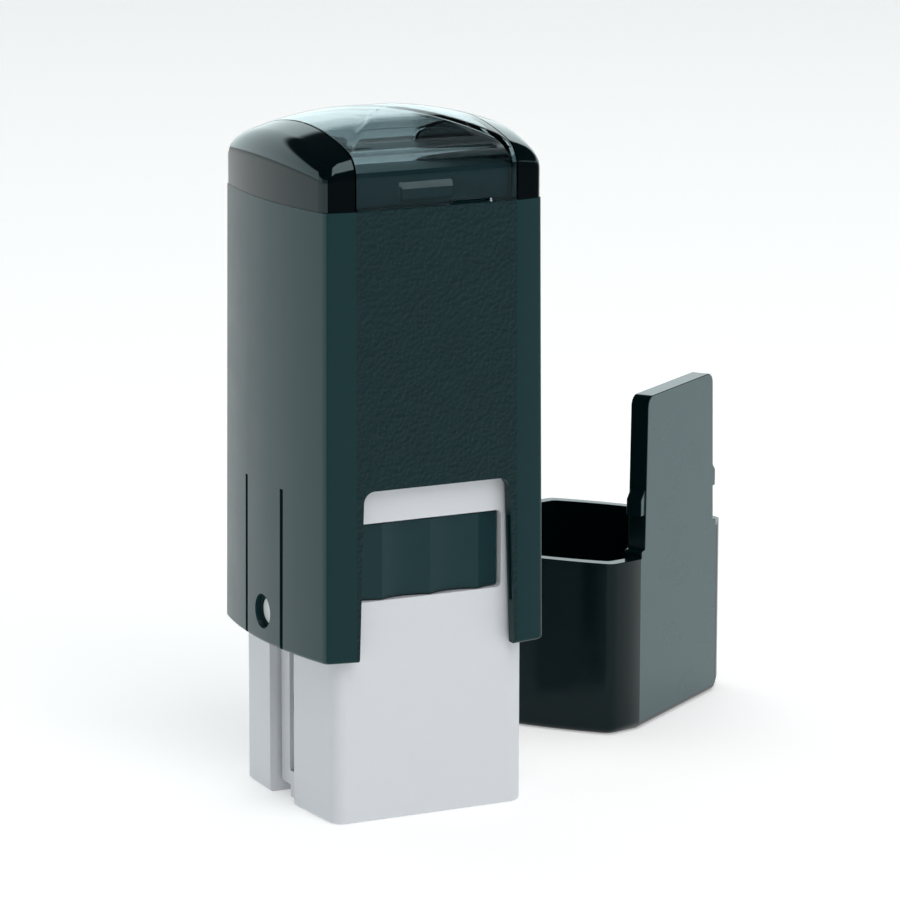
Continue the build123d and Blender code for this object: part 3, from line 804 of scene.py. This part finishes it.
def dust_cap():
    """Glossy box with a tongue that closes the handle's cut-out."""
    rings = []
    for k in range(9):
        a = pi / 2 * k / 8
        rings.append(ring(cap_plan(CAP_FOOT_R * (1 - sin(a))), CAP_FOOT_R * (1 - cos(a))))
    rings.append(ring(cap_plan(), CAP_RIM))
    cap = loft("cap", rings)
    inside = [ring(cap_plan(CAP_WALL, 0.6), z) for z in (CAP_FLOOR, CAP_RIM + 2)]
    cut(cap, loft("inside", inside))
    step, back = CAP_RIM + CAP_SHOULDER, -CAP_FRONT + CAP_TONGUE_T
    half = [
        (CAP_SHOULDER_HALF, CAP_TONGUE_ROOT), (CAP_SHOULDER_HALF, step),
        (CAP_TONGUE_HALF_LOW, step), (CAP_TONGUE_HALF_TOP, CAP_TOP),
    ]
    corners = [(-x, z) for x, z in half[:1]] + half + [(-x, z) for x, z in half[:0:-1]]
    profile = rounded(corners, [0, 0, 0.3, 0.2, 1.2, 1.2, 0.2, 0.3], 10)
    unite(cap, prism("tongue", profile, -CAP_FRONT, back, "XZ"))
    wedge = [
        (CATCH_ROOT, CATCH_LOW), (CATCH_OUT, CATCH_LOW),
        (CATCH_OUT, CATCH_BEND), (CATCH_ROOT, CATCH_TOP),
    ]
    for side in (-1, 1):
        points = [(side * x, z) for x, z in wedge][::side]
        unite(cap, prism("wedge", points, -CAP_FRONT + CATCH_INSET, back - CATCH_INSET, "XZ"))
    soften(cap, 0.16)
    turn = Matrix.Rotation(radians(CAP_TURN), 4, "Z")
    cap.data.transform(Matrix.Translation((*CAP_AT, 0)) @ turn)
    facing = Vector((sin(radians(CAP_TURN)), -cos(radians(CAP_TURN)), 0))

    def pick(centre, normal):
        # The front face gets the rougher satin with a lighter colour: painted light where it faces
        # the light.
        return 1 if normal.dot(facing) > 0.975 else 0

    return finish_piece(cap, [CAP_GLOSS, CAP_FRONT_SATIN_AND_PAINTED_LIGHT], "cap", "dust_cap", pick)


housing()
top_cap()
clear_cover()
base_frame()
spring()
carrier()
axle()
cam_pins()
soft_block("cushion", CUSHION_LOW, CUSHION_HIGH, [FOAM], "carrier", "die_cushion", 0.08)
rubber_die()
pad_tray()
soft_block("ink_pad", FOAM_LOW, FOAM_HIGH, [INK_FOAM], "cartridge", "pad_foam", 0.2)
soft_block(
    "ink_face", CLOTH_LOW, CLOTH_HIGH, [INK_CLOTH], "cartridge", "pad_cloth", 0.05
)
dust_cap()


# ---- stage, light and camera ---------------------------------------------------------------
VIEW_HEADING = (0.4587, 0.8886)  # from the photographer to the stamp, in the plane of the floor


def stage():
    """A plain pale floor in a white studio, darker above and dimmer towards the viewer."""
    bm = bmesh.new()
    bmesh.ops.create_circle(bm, cap_ends=True, radius=6.0, segments=96)
    floor = new_object("floor", bm)
    floor.location.z = -0.00002
    mat = bpy.data.materials.new("floor_white")
    mat.use_nodes = True
    shader = mat.node_tree.nodes["Principled BSDF"]
    shader.inputs["Base Color"].default_value = (0.86, 0.86, 0.86, 1)
    shader.inputs["Roughness"].default_value = 0.8
    shader.inputs["Specular IOR Level"].default_value = 0.1
    shader.inputs["Emission Color"].default_value = (1, 1, 1, 1)
    shader.inputs["Emission Strength"].default_value = 0.36
    floor.data.materials.append(mat)

    world = bpy.data.worlds.new("studio")
    bpy.context.scene.world = world
    world.use_nodes = True
    nodes, links = world.node_tree.nodes, world.node_tree.links
    toward = nodes.new("ShaderNodeTexCoord")
    parts = nodes.new("ShaderNodeSeparateXYZ")
    links.new(toward.outputs["Generated"], parts.inputs["Vector"])

    def ramp(value, start, end, low, high):
        node = nodes.new("ShaderNodeMapRange")
        node.interpolation_type = "SMOOTHSTEP"
        numbers = {"From Min": start, "From Max": end, "To Min": low, "To Max": high}
        for key, number in numbers.items():
            node.inputs[key].default_value = number
        links.new(value, node.inputs["Value"])
        return node.outputs["Result"]

    def maths(operation, *values):
        node = nodes.new("ShaderNodeMath")
        node.operation = operation
        for socket, value in zip(node.inputs, values):
            if isinstance(value, float):
                socket.default_value = value
            else:
                links.new(value, socket)
        return node.outputs["Value"]

    height = maths("SUBTRACT", parts.outputs["Z"], ramp(parts.outputs["Y"], 0.3, 0.85, 0.0, 0.32))
    sweep = ramp(height, 0.2, 0.28, 1.0, 0.015)
    glow = ramp(parts.outputs["Y"], 0.2, 0.9, 1.0, 1.6)
    back = nodes["Background"]
    back.inputs["Color"].default_value = (0.87, 1.0, 1.01, 1)
    across, along = VIEW_HEADING
    ahead = maths("MULTIPLY", parts.outputs["X"], across)
    ahead = maths("ADD", ahead, maths("MULTIPLY", parts.outputs["Y"], along))
    open_side = ramp(ahead, -0.45, -0.2, 0.35, 1.0)
    strength = maths("MULTIPLY", maths("MULTIPLY", sweep, glow), open_side)
    links.new(strength, back.inputs["Strength"])


def softbox(name, place, target, size, power, mirrored=True):
    """A rectangular area light aimed at a point, shown in reflections only if mirrored."""
    data = bpy.data.lights.new(name, "AREA")
    data.shape = "RECTANGLE"
    data.size, data.size_y = size
    data.energy = power
    lamp = bpy.data.objects.new(name, data)
    bpy.context.scene.collection.objects.link(lamp)
    lamp.location = place
    aim = Vector(target) - Vector(place)
    lamp.rotation_euler = aim.to_track_quat("-Z", "Y").to_euler()
    lamp.visible_glossy = mirrored
    return lamp


def camera():
    """The photograph's viewing angle: front left, a little above."""
    data = bpy.data.cameras.new("view")
    data.sensor_width, data.lens = 36.0, 194.78
    data.clip_start, data.clip_end = 0.01, 20
    eye = bpy.data.objects.new("view", data)
    bpy.context.scene.collection.objects.link(eye)
    yaw, pitch, roll = radians(27.307), radians(11.772), radians(0.118)
    turn = Matrix.Rotation(-yaw, 4, "Z") @ Matrix.Rotation(pi / 2 - pitch, 4, "X")
    eye.matrix_world = (
        Matrix.Translation((-0.21687, -0.43499, 0.13699)) @ turn @ Matrix.Rotation(roll, 4, "Z")
    )
    bpy.context.scene.camera = eye


stage()
softbox("overhead", (0.1, 0.15, 1.3), (0.02, 0.02, 0), (1.6, 1.6), 9, mirrored=False)
softbox("front", (-0.08, -0.75, 0.95), (0, 0, 0.05), (0.66, 0.9), 5.6)
softbox("fill", (0.35, -1.0, 0.5), (0.01, 0, 0.03), (0.9, 0.7), 2.2, mirrored=False)
camera()
bpy.context.scene.view_settings.view_transform = "Standard"
